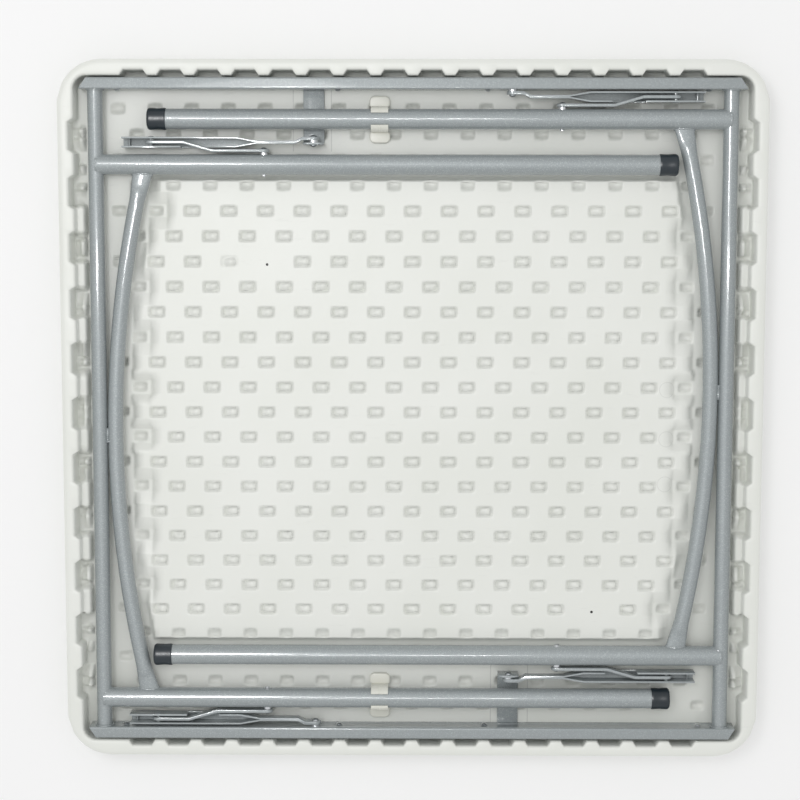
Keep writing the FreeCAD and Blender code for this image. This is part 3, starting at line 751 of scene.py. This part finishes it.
class TABLE_OT_top(bpy.types.Operator):
    """Moulds the table top: dimpled underside, notched rim and flat working face"""
    bl_idname = "table.top"
    bl_label = "Moulded top"

    def execute(self, context):
        sizes = context.scene.table_top
        xs, ys = grid_lines(sizes)
        start_clean()
        bpy.ops.mesh.primitive_grid_add(x_subdivisions=len(xs) - 1, y_subdivisions=len(ys) - 1, size=2)
        top = take("tabletop_moulding")
        places = coords(top)
        column = np.rint((places[:, 0] + 1) / 2 * (len(xs) - 1)).astype(int)
        line = np.rint((places[:, 1] + 1) / 2 * (len(ys) - 1)).astype(int)
        x, y = np.array(xs)[column], np.array(ys)[line]
        wall, corner = HALF - sizes.rim, sizes.recess_corner
        u = np.clip((np.abs(x) - (wall - corner)) / corner, 0, 1)
        v = np.clip((np.abs(y) - (wall - corner)) / corner, 0, 1)
        both = (u > 0) & (v > 0)
        px = np.where(both, np.sign(x) * (wall - corner + corner * u * np.sqrt(1 - v * v / 2)), x)
        py = np.where(both, np.sign(y) * (wall - corner + corner * v * np.sqrt(1 - u * u / 2)), y)
        z = deck_height(px, py, sizes)
        ring = rim_places(xs, ys, sizes)
        floor_at = {}
        edge = (column == 0) | (column == len(xs) - 1) | (line == 0) | (line == len(ys) - 1)
        for i in np.nonzero(edge)[0]:
            inner, outer, out = ring[(round(x[i], 6), round(y[i], 6))]
            foot = inner - out * FOOT_IN
            z[i] = float(deck_height(np.array([foot.x]), np.array([foot.y]), sizes)[0])
            px[i], py[i] = foot.x, foot.y
            floor_at[(round(x[i], 6), round(y[i], 6))] = z[i]
        set_coords(top, np.column_stack((px, py, z)))
        flat = {}
        for key, (inner, outer, out) in ring.items():
            foot = inner - out * FOOT_IN
            flat[(round(foot.x, 5), round(foot.y, 5))] = key

        edit(top, "EDGE")
        pick(top, "EDGE", lambda middle, item: item.is_boundary)
        loops = [("in", off * MM, high * MM) for off, high in WALL_PROFILE]
        loops += [("out", off * MM, high * MM) for off, high in EDGE_PROFILE]
        for order, (kind, off, high) in enumerate(loops):
            bpy.ops.mesh.extrude_edges_move()
            mesh = bmesh.from_edit_mesh(top.data)
            renamed = {}
            for vert in mesh.verts:
                if not vert.select:
                    continue
                key = flat[(round(vert.co.x, 5), round(vert.co.y, 5))]
                inner, outer, out = ring[key]
                place, rise = outer - out * off, high
                if kind == "in":
                    place, rise = inner + out * off, max(high, floor_at[key] + 0.2 * MM * (order + 1))
                vert.co = (place.x, place.y, rise)
                renamed[(round(place.x, 5), round(place.y, 5))] = key
            flat = renamed
            bmesh.update_edit_mesh(top.data)
        bpy.ops.mesh.edge_face_add()
        leave(top, 180)
        dress(top, "top", "moulded_plastic", "tabletop")
        return {"FINISHED"}


# ------------------------------------------------------------------ swept and rounded pieces
def swept(name, path, outline, sides, closed=False):
    """A solid drawn along a path: outline(i, angle) gives its width and height offsets at point i."""
    count = len(path)
    start_clean()
    bpy.ops.mesh.primitive_grid_add(x_subdivisions=count - 1, y_subdivisions=sides, size=2)
    piece = take(name)
    places = coords(piece)
    along = np.rint((places[:, 0] + 1) / 2 * (count - 1)).astype(int)
    around = np.rint((places[:, 1] + 1) / 2 * sides).astype(int)
    axes = []
    for i in range(count):
        if closed:
            ahead, behind = path[(i + 1) % (count - 1)], path[(i - 1) % (count - 1)]
        else:
            ahead, behind = path[min(i + 1, count - 1)], path[max(i - 1, 0)]
        run = (ahead - behind).normalized()
        up = Vector((0, 0, 1)) if abs(run.z) < 0.9 else Vector((1, 0, 0))
        side = run.cross(up).normalized()
        axes.append((side, side.cross(run).normalized()))
    for k in range(len(places)):
        i, j = along[k], around[k] % sides
        side, up = axes[i]
        wide, high = outline(i, 2 * math.pi * j / sides)
        places[k] = path[i] + side * wide + up * high
    set_coords(piece, places)
    edit(piece, "EDGE")
    bpy.ops.mesh.select_all(action="SELECT")
    bpy.ops.mesh.remove_doubles(threshold=1e-6)
    if not closed:
        for i, end in ((0, path[0]), (count - 1, path[-1])):
            reach = 1.3 * max(math.hypot(*outline(i, math.pi * k / 4)) for k in range(8))
            pick(piece, "EDGE", lambda middle, item: item.is_boundary and (middle - end).length < reach)
            bpy.ops.mesh.edge_face_add()
    leave(piece, 50)
    return piece


def body_of(node):
    return frame["nodes"][node]["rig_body"]


def join(pieces, name):
    start_clean()
    for piece in pieces:
        piece.select_set(True)
    bpy.context.view_layer.objects.active = pieces[0]
    bpy.ops.object.join()
    pieces[0].name = pieces[0].data.name = name
    return pieces[0]


def bead(path, thick, seed, closed=False):
    """A rippled weld bead along a path."""
    def outline(i, angle):
        ripple = 1 + 0.16 * math.sin(i * 1.9 + seed) + 0.08 * math.sin(i * 4.7 + seed * 2)
        return thick * ripple * math.cos(angle), thick * ripple * math.sin(angle)
    return swept("bead", path, outline, 8, closed)


class TABLE_OT_braces(bpy.types.Operator):
    """Bends the two curved braces and flattens their welded ends"""
    bl_idname = "table.braces"
    bl_label = "Curved braces"

    def execute(self, context):
        sizes = context.scene.table_frame
        centre_x, centre_y, radius = brace_arc()
        low, high = -OUTER_Y + 5 * MM, INNER_Y - 5 * MM
        count = 121
        path = []
        for i in range(count):
            t = i / (count - 1)
            bias = 0.5 - 0.5 * math.cos(math.pi * t)
            y = low + (high - low) * bias
            path.append(Vector((centre_x - math.sqrt(radius ** 2 - (y - centre_y) ** 2), y, AXIS_Z)))

        def outline(i, angle):
            to_end = min(path[i].y + OUTER_Y, INNER_Y - path[i].y) - LEG_R
            flare = min(max(1 - to_end / sizes.crimp, 0.0), 1.0)
            t = min(max(1 - (to_end - 0.4 * sizes.crimp) / (0.3 * sizes.crimp), 0.0), 1.0)
            flat = t * t * (3 - 2 * t)
            wide, high = math.cos(angle), math.sin(angle)
            high = math.copysign(abs(high) ** (1 - 0.4 * flat), high)
            return BRACE_R * (1 + 0.26 * flare) * wide, BRACE_R * (1 - 0.16 * flare - 0.22 * flat) * high

        left = swept("left_brace_tube", path, outline, 40)
        right = half_turned(left, "right_brace_tube")
        for piece, side in zip((left, right), SIDES):
            dress(piece, f"{side}_legs", "powder_coat", f"{side}_brace")
        return {"FINISHED"}


class TABLE_OT_welds(bpy.types.Operator):
    """Lays the weld beads where legs and braces meet, and the tack between brace and hinge tube"""
    bl_idname = "table.welds"
    bl_label = "Weld beads"

    def execute(self, context):
        thick = context.scene.table_frame.weld / 2
        hug = LEG_R - 1.5 * MM                       # the bead's middle lies inside the tube's skin
        centre_x, centre_y, radius = brace_arc()
        beads = []
        for seed, leg_y in enumerate((INNER_Y, -OUTER_Y)):
            path = []
            for i in range(57):
                t = math.radians(-70 + 320 * i / 56)
                rise = LEG_R * math.sin(t)
                reach = math.sqrt(max(HINGE_R ** 2 - rise ** 2, 0.0))
                path.append(Vector((-HINGE_X + max(reach, 1.5 * MM), leg_y + hug * math.cos(t),
                                    AXIS_Z + hug * math.sin(t))))
            beads.append(bead(path, thick, seed + 0.7))
            inward = -1 if leg_y > 0 else 1
            path = []
            for i in range(41):
                t = 2 * math.pi * i / 40
                wide, rise = BRACE_R * 1.24 * math.cos(t), BRACE_R * 0.58 * math.sin(t)
                y = leg_y + inward * math.sqrt(LEG_R ** 2 - rise ** 2)
                x = centre_x - math.sqrt(radius ** 2 - (y - centre_y) ** 2)
                path.append(Vector((x + wide, y, AXIS_Z + rise)))
            beads.append(bead(path, thick * 0.85, seed + 2.1, True))
        near = BRACE_LOW.x - 0.1 * MM
        path = [Vector((near, centre_y + (i - 12) * 0.75 * MM, AXIS_Z + 3.0 * MM)) for i in range(25)]
        beads.append(bead(path, 2.1 * MM, 0.4))
        left = join(beads, "left_weld_beads")
        right = half_turned(left, "right_weld_beads")
        for piece, side in zip((left, right), SIDES):
            dress(piece, f"{side}_legs", "powder_coat")
        return {"FINISHED"}


class TABLE_OT_caps(bpy.types.Operator):
    """Turns the rubber foot caps, with a rounded end, a waisted grip and an open mouth"""
    bl_idname = "table.caps"
    bl_label = "Foot caps"

    def execute(self, context):
        for node in sorted(frame["nodes"]):
            if not node.endswith("_foot_cap"):
                continue
            low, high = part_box(node)
            middle = (low + high) / 2
            out = math.copysign(1, middle.x)
            radius, long = (high.z - low.z) / 2, high.x - low.x
            start_clean()
            bpy.ops.mesh.primitive_cylinder_add(vertices=56, radius=radius, depth=long, location=middle,
                                                rotation=(0, math.pi / 2, 0))
            cap = take(node + "_rubber")
            tip, mouth = middle.x + out * long / 2, middle.x - out * long / 2
            edit(cap, "FACE")
            pick(cap, "FACE", lambda c, f: abs(c.x - tip) < CLOSE)
            bpy.ops.mesh.bevel(offset=3.6 * MM, segments=6, affect="EDGES")
            pick(cap, "FACE", lambda c, f: abs(c.x - tip) < CLOSE and abs(f.normal.x) > 0.9)
            bpy.ops.mesh.inset(thickness=2.5 * MM, depth=0)
            bpy.ops.mesh.inset(thickness=1.2 * MM, depth=-0.6 * MM)
            pick(cap, "FACE", lambda c, f: abs(c.x - mouth) < CLOSE and abs(f.normal.x) > 0.9)
            bpy.ops.mesh.inset(thickness=radius - LEG_R + 0.05 * MM, depth=0)
            bpy.ops.mesh.inset(thickness=0.1 * MM, depth=-14 * MM)
            for share in (0.06, 0.12, 0.3, 0.45, 0.6, 0.74):
                bpy.ops.mesh.select_all(action="SELECT")
                bpy.ops.mesh.bisect(plane_co=(mouth + out * long * share, 0, 0), plane_no=(1, 0, 0))
            leave(cap, 40)
            places = coords(cap)
            away = (places[:, 0] - mouth) * out / long
            off = np.hypot(places[:, 1] - middle.y, places[:, 2] - middle.z)
            waist = 1 - 0.035 * np.exp(-((away - 0.42) / 0.2) ** 2) - 0.03 * (away < 0.03)
            scale = np.where((off > LEG_R + 0.2 * MM) & (away < 0.8), waist, 1.0)
            places[:, 1] = middle.y + (places[:, 1] - middle.y) * scale
            places[:, 2] = middle.z + (places[:, 2] - middle.z) * scale
            set_coords(cap, places)
            dress(cap, body_of(node), "cap_rubber", node)
        return {"FINISHED"}


class TABLE_OT_clips(bpy.types.Operator):
    """Moulds the leg clips: a strap under the tube, two arms with lips over it and two rounded feet"""
    bl_idname = "table.clips"
    bl_label = "Leg clips"

    def execute(self, context):
        sizes = context.scene.table_frame
        deck = context.scene.table_top.deck
        foot_high = 5 * MM
        for node in ("leg_clip_back", "leg_clip_front"):
            low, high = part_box(node)
            middle = (low + high) / 2
            ring = LEG_R + 0.4 * MM + sizes.clip_wall / 2
            line = []
            for i in range(9):
                t = math.radians(56 - 56 * i / 8)
                line.append((ring * math.cos(t), AXIS_Z + ring * math.sin(t)))
            line += [(ring, z * MM) for z in (28, 24, 20, 18)]
            line += [(ring * s, deck + sizes.clip_wall / 2) for s in (0.96, 0.7, 0.35, 0.0)]
            line += [(-y, z) for y, z in reversed(line[:-1])]
            count = len(line)
            start_clean()
            bpy.ops.mesh.primitive_grid_add(x_subdivisions=8, y_subdivisions=count - 1, size=2)
            clip = take(node + "_strap")
            places = coords(clip)
            column = np.rint((places[:, 0] + 1) * 4).astype(int)
            row = np.rint((places[:, 1] + 1) / 2 * (count - 1)).astype(int)
            spread = np.array([-1, -0.93, -0.5, -0.07, 0, 0.07, 0.5, 0.93, 1])
            profile = np.array(line)
            places[:, 0] = middle.x + spread[column] * sizes.clip_width / 2
            places[:, 1] = middle.y + profile[row, 0]
            places[:, 2] = profile[row, 1]
            set_coords(clip, places)
            edit(clip, "FACE")
            bpy.ops.mesh.select_all(action="SELECT")
            bpy.ops.mesh.normals_make_consistent(inside=False)
            bpy.ops.object.mode_set(mode="OBJECT")
            modify(clip, "SOLIDIFY", thickness=sizes.clip_wall, offset=0.0)
            edit(clip, "FACE")
            pick(clip, "FACE", lambda c, f: abs(c.x - middle.x) < 0.8 * MM and c.z > AXIS_Z
                 and (Vector((0, c.y - middle.y, c.z - AXIS_Z)).length > ring + 1 * MM))
            bpy.ops.mesh.extrude_region_shrink_fatten(TRANSFORM_OT_shrink_fatten={"value": 0.55 * MM})
            leave(clip, 40)
            modify(clip, "BEVEL", width=0.45 * MM, segments=2, limit_method="ANGLE",
                   angle_limit=math.radians(40))
            pieces = [clip]
            for side in (1, -1):
                near = LEG_R + 0.4 * MM + sizes.clip_wall - 0.6 * MM
                far = (high.y - low.y) / 2
                start_clean()
                bpy.ops.mesh.primitive_cube_add(
                    size=1, location=(middle.x, middle.y + side * (near + far) / 2, deck + foot_high / 2),
                    scale=(high.x - low.x, far - near, foot_high))
                foot = take(node + "_foot")
                edit(foot, "EDGE")
                for place, offset, segments in ((far, 6.5 * MM, 8), (near, 3 * MM, 4)):
                    corner_y = middle.y + side * place
                    pick(foot, "EDGE", lambda c, e: abs(c.z - deck - foot_high / 2) < CLOSE
                         and abs(c.y - corner_y) < CLOSE)
                    bpy.ops.mesh.bevel(offset=offset, segments=segments, affect="EDGES")
                pick(foot, "FACE", lambda c, f: c.z > deck + 0.98 * foot_high)
                bpy.ops.mesh.bevel(offset=1.6 * MM, segments=4, affect="EDGES")
                leave(foot, 40)
                pieces.append(foot)
            dress(join(pieces, node + "_moulding"), "top", "clip_plastic", node)
        return {"FINISHED"}


class TABLE_OT_collars(bpy.types.Operator):
    """Adds the flared rings where the hinge tubes pass into the rails"""
    bl_idname = "table.collars"
    bl_label = "Hinge collars"

    def execute(self, context):
        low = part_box("rail_back")[0]
        pieces = []
        for sx in (1, -1):
            for sy in (1, -1):
                start_clean()
                bpy.ops.mesh.primitive_torus_add(
                    major_radius=HINGE_R + 1.0 * MM, minor_radius=1.1 * MM, major_segments=48,
                    minor_segments=10, location=(sx * HINGE_X, sy * (low.y - 0.4 * MM), AXIS_Z),
                    rotation=(math.pi / 2, 0, 0))
                ring = take("collar")
                smooth(ring, 60)
                pieces.append(ring)
        dress(join(pieces, "hinge_collars"), "top", "powder_coat")
        return {"FINISHED"}


# How far each pressed part's edges are rounded, in mm.
PRESSED = (("rail_", 0.45), ("stay_bracket_", 0.5), ("_stay_channel", 0.35), ("_stay_bar", 0.9))


class TABLE_OT_pressed(bpy.types.Operator):
    """Rounds the edges of the rails, brackets, channels and bars, as pressed steel has them"""
    bl_idname = "table.pressed"
    bl_label = "Pressed steel"

    def execute(self, context):
        for node in sorted(frame["nodes"]):
            width = next((w for part, w in PRESSED if part in node and "rivet" not in node), None)
            if width is None:
                continue
            source = frame["nodes"][node]
            piece = bpy.data.objects.new(node + "_pressed", source.data.copy())
            bpy.context.scene.collection.objects.link(piece)
            edit(piece)
            bpy.ops.mesh.select_all(action="SELECT")
            bpy.ops.mesh.customdata_custom_splitnormals_clear()
            bpy.ops.mesh.remove_doubles(threshold=2e-6)
            bpy.ops.mesh.dissolve_limited(angle_limit=math.radians(1.0))
            bpy.ops.object.mode_set(mode="OBJECT")
            modify(piece, "BEVEL", width=width * MM, segments=2, limit_method="ANGLE",
                   angle_limit=math.radians(38), use_clamp_overlap=True)
            smooth(piece, 42)
            dress(piece, body_of(node), "powder_coat", node)
        return {"FINISHED"}


# ------------------------------------------------------------------ finishes on the metal frame
class TABLE_OT_metal(bpy.types.Operator):
    """Gives the pressed and tubular steel pieces their powder coat and plated finishes"""
    bl_idname = "table.metal"
    bl_label = "Metal finishes"

    def execute(self, context):
        for name, node in frame["nodes"].items():
            plated = "rivet" in name or "washer" in name
            node.data.materials.clear()
            node.data.materials.append(finish("zinc_steel" if plated else "powder_coat"))
        return {"FINISHED"}


# ------------------------------------------------------------------ stage
def area_light(name, place, aim, wide, long, power, lights_all):
    """A softbox. A strip that lights only the gloss gives the tubes their highlights."""
    start_clean()
    bpy.ops.object.light_add(type="AREA", location=place)
    lamp = bpy.context.object
    lamp.name = name
    lamp.data.shape = "RECTANGLE"
    lamp.data.size = wide
    lamp.data.size_y = long
    lamp.data.energy = power
    lamp.visible_diffuse = lights_all
    lamp.rotation_euler = (Vector(aim) - Vector(place)).to_track_quat("-Z", "Y").to_euler()


# Name, place, aim, width and length in metres, power, and whether it lights more than the gloss.
LIGHTS = (
    ("key_light", (-0.75, 0.85, 2.5), (0, 0, 0), 0.9, 0.9, 9, True),
    ("left_strip", (-0.66, 0.56, 2.6), (-0.3, 0.3, 0), 0.6, 0.4, 45, False),
    ("long_strip", (-0.20, 0.10, 2.6), (0.1, 0.1, 0), 0.05, 1.0, 14, False),
)
CAMERA_PLACE = (-0.0007241, 0.2520024, 2.2574929)
CAMERA_TURN = (-0.1053, 0.0067, 0.0013)
CAMERA_LENS = 80.868                                # mm, on a sensor 36 mm wide


class TABLE_OT_stage(bpy.types.Operator):
    """Sets out the pale floor, the soft lights and the camera"""
    bl_idname = "table.stage"
    bl_label = "Stage"

    def execute(self, context):
        scene = context.scene
        start_clean()
        bpy.ops.mesh.primitive_plane_add(size=12, location=(0, 0, -0.0006))
        floor = take("floor")
        made, tree, shader, where = material("pale_floor")
        soft = noise(tree, where, 3.0, 3.0, 0.5)
        wire(tree, (mix_colour(tree, soft.outputs["Fac"], (0.94, 0.94, 0.94), (0.96, 0.96, 0.96)),
                    shader.inputs["Base Color"]))
        shader.inputs["Roughness"].default_value = 0.9
        floor.data.materials.append(made)

        world = bpy.data.worlds.new("soft_studio")
        world.use_nodes = True
        world.node_tree.nodes["Background"].inputs["Color"].default_value = (1, 1, 1, 1)
        world.node_tree.nodes["Background"].inputs["Strength"].default_value = 0.85
        scene.world = world
        for light in LIGHTS:
            area_light(*light)

        scene.view_settings.view_transform = "Standard"
        lens = bpy.data.cameras.new("camera")
        lens.sensor_width = 36.0
        lens.lens = CAMERA_LENS
        camera = bpy.data.objects.new("camera", lens)
        scene.collection.objects.link(camera)
        camera.location = CAMERA_PLACE
        camera.rotation_euler = CAMERA_TURN
        scene.camera = camera
        return {"FINISHED"}


class TABLE_PT_looks(bpy.types.Panel):
    """Lists the table's sizes, finishes and pieces"""
    bl_idname = "TABLE_PT_looks"
    bl_label = "Folding table"
    bl_space_type = "VIEW_3D"
    bl_region_type = "UI"
    bl_category = "Table"

    def draw(self, context):
        scene = context.scene
        for group_name, title in GROUPS:
            box = self.layout.box()
            box.label(text=title)
            values = getattr(scene, group_name)
            for key in values.bl_rna.properties.keys():
                if key not in ("rna_type", "name"):
                    box.prop(values, key)
        for operator in OPERATORS:
            self.layout.operator(operator.bl_idname)


GROUPS = (("table_top", "Top"), ("table_frame", "Frame details"), ("table_finish", "Finishes"))
SETTINGS = (TableTopSizes, TableFrameSizes, TableFinish)
OPERATORS = (TABLE_OT_stage, TABLE_OT_top, TABLE_OT_metal, TABLE_OT_braces, TABLE_OT_welds, TABLE_OT_caps,
             TABLE_OT_clips, TABLE_OT_collars, TABLE_OT_pressed)


def register():
    for made in SETTINGS + OPERATORS + (TABLE_PT_looks,):
        bpy.utils.register_class(made)
    for (name, title), made in zip(GROUPS, SETTINGS):
        setattr(bpy.types.Scene, name, bpy.props.PointerProperty(type=made))


def unregister():
    for name, title in GROUPS:
        delattr(bpy.types.Scene, name)
    for made in reversed(SETTINGS + OPERATORS + (TABLE_PT_looks,)):
        bpy.utils.unregister_class(made)


def main():
    register()
    for operator in OPERATORS:
        piece = operator.bl_idname.split(".")[1]
        getattr(bpy.ops.table, piece)()
    start_clean()


if __name__ == "__main__":
    main()
